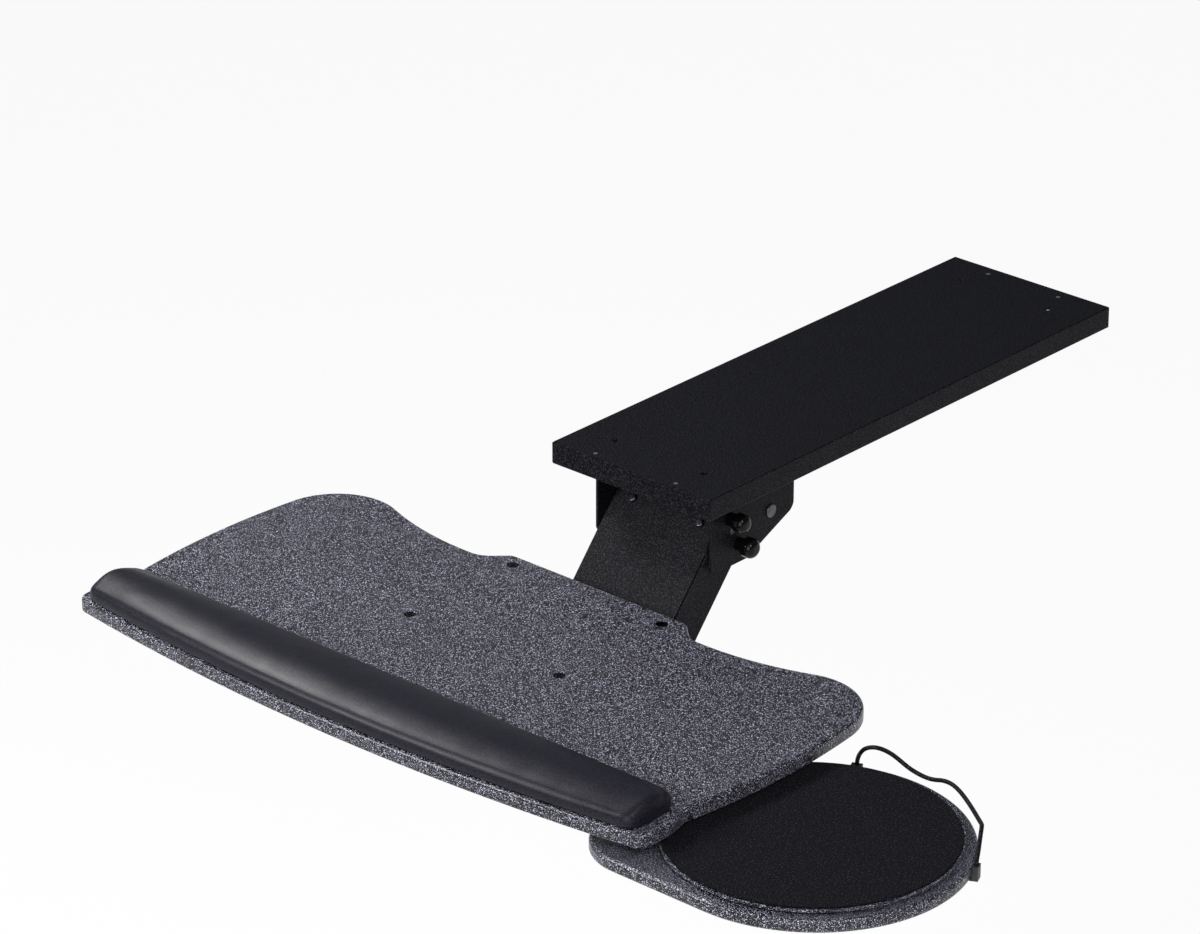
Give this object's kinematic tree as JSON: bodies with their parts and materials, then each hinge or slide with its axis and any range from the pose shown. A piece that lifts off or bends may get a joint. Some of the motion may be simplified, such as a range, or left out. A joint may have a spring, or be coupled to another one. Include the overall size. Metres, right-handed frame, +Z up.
{
  "type": "keyboard tray under desk",
  "caption": "Keyboard tray on a sliding, swivelling, height-adjustable arm, with a wrist rest and a swing-out round mouse platform.",
  "frame": {"origin": "middle of the track's front end, on the face that lies against the worktop's underside", "axes": "+X to the user's right, +Y away from the user along the track, +Z up"},
  "size_m": [0.8404, 0.9125, 0.1669],
  "materials": {
    "black_powder_coat": "fine-textured black powder coat",
    "zinc_steel": "zinc-plated steel, dull",
    "spring_steel": "oiled spring steel",
    "black_nylon": "moulded black nylon",
    "white_nylon": "natural nylon",
    "black_rubber": "black rubber",
    "gloss_black": "gloss black plastic",
    "hammertone_board": "fibreboard with a dark hammertone coating",
    "pad_cloth": "matt black cloth",
    "black_leatherette": "black leatherette, soft sheen"
  },
  "bodies": {
    "track": {"track_channel": "black_powder_coat", "track_front_cap": "black_powder_coat", "cap_rivets": "zinc_steel", "front_bumpers": "black_rubber", "rear_bumpers": "black_rubber", "rear_bumper_screws": "zinc_steel"},
    "carriage": {"glide_plate": "zinc_steel", "glide_runners": "white_nylon", "swivel_hub": "zinc_steel", "swivel_bearing": "white_nylon", "swivel_bolt": "zinc_steel", "swivel_washer": "zinc_steel", "swivel_nut": "zinc_steel"},
    "bracket": {"swivel_bracket": "black_powder_coat", "main_shaft": "zinc_steel", "link_anchor_pin": "zinc_steel", "spring_rod": "zinc_steel", "friction_shoe": "white_nylon", "counterbalance_springs": "spring_steel"},
    "height_knob": {"height_lock_knob": "gloss_black"},
    "tension_knob": {"tension_knob": "gloss_black"},
    "arm": {"arm_channel": "black_powder_coat", "arm_cover": "black_powder_coat", "cover_screws": "black_powder_coat", "arm_bushes": "white_nylon", "friction_quadrant": "zinc_steel", "lower_shaft": "zinc_steel"},
    "link": {"levelling_link": "zinc_steel"},
    "head": {"tilt_head": "black_powder_coat", "head_bushes": "white_nylon", "link_head_pin": "zinc_steel", "tilt_pin": "zinc_steel"},
    "tilt_knob": {"tilt_knob": "gloss_black"},
    "tray": {"tray_bracket": "black_powder_coat", "keyboard_tray": "hammertone_board", "tray_screws": "black_powder_coat", "tray_nuts": "zinc_steel", "wrist_rest": "black_leatherette", "wrist_rest_base": "black_nylon", "mouse_pivot_bolt": "zinc_steel", "mouse_pivot_spacer": "black_nylon", "mouse_pivot_washer": "zinc_steel", "mouse_pivot_nut": "zinc_steel"},
    "mouse": {"mouse_platform": "hammertone_board", "pad_disc": "hammertone_board", "mouse_pad": "pad_cloth", "mouse_guard": "black_powder_coat", "guard_clips": "black_nylon"}
  },
  "joints": [
    {"name": "track_slide", "type": "slide", "parent": "track", "child": "carriage", "axis": [0, 1, 0], "range_m": [0, 0.3757]},
    {"name": "swivel", "type": "hinge", "parent": "carriage", "child": "bracket", "pos_m": [0, 0.08, -0.023], "axis": [0, 0, 1], "range_deg": [-90, 90]},
    {"name": "height_lock", "type": "hinge", "parent": "bracket", "child": "height_knob", "pos_m": [0.0795, 0.0626, -0.07], "axis": [1, 0, 0], "range_deg": [0, 180]},
    {"name": "tension_screw", "type": "hinge", "parent": "bracket", "child": "tension_knob", "pos_m": [0.0795, 0.051, -0.043], "axis": [1, 0, 0], "range_deg": [0, 180]},
    {"name": "arm_lift", "type": "hinge", "parent": "bracket", "child": "arm", "pos_m": [0, 0.0626, -0.07], "axis": [1, 0, 0], "range_deg": [-55, 12], "deforming": ["counterbalance_springs"]},
    {"name": "link_swing", "type": "hinge", "parent": "bracket", "child": "link", "pos_m": [0.0543, 0.05496, -0.05594], "axis": [1, 0, 0], "range_deg": [-55, 12]},
    {"name": "head_level", "type": "hinge", "parent": "arm", "child": "head", "pos_m": [0, -0.00754, -0.15212], "axis": [1, 0, 0], "range_deg": [-12, 55]},
    {"name": "tray_tilt", "type": "hinge", "parent": "head", "child": "tray", "pos_m": [0, -0.06204, -0.13402], "axis": [1, 0, 0], "range_deg": [-15, 15]},
    {"name": "tilt_lock", "type": "hinge", "parent": "head", "child": "tilt_knob", "pos_m": [0.063, -0.06204, -0.13402], "axis": [1, 0, 0], "range_deg": [0, 180]},
    {"name": "mouse_swivel", "type": "hinge", "parent": "tray", "child": "mouse", "pos_m": [0.2723, -0.32714, -0.112], "axis": [0, 0, 1], "range_deg": [-150, 4]}
  ],
  "couplings": [
    {"joint": "link_swing", "follows": "arm_lift", "ratio": 1},
    {"joint": "head_level", "follows": "arm_lift", "ratio": -1}
  ]
}
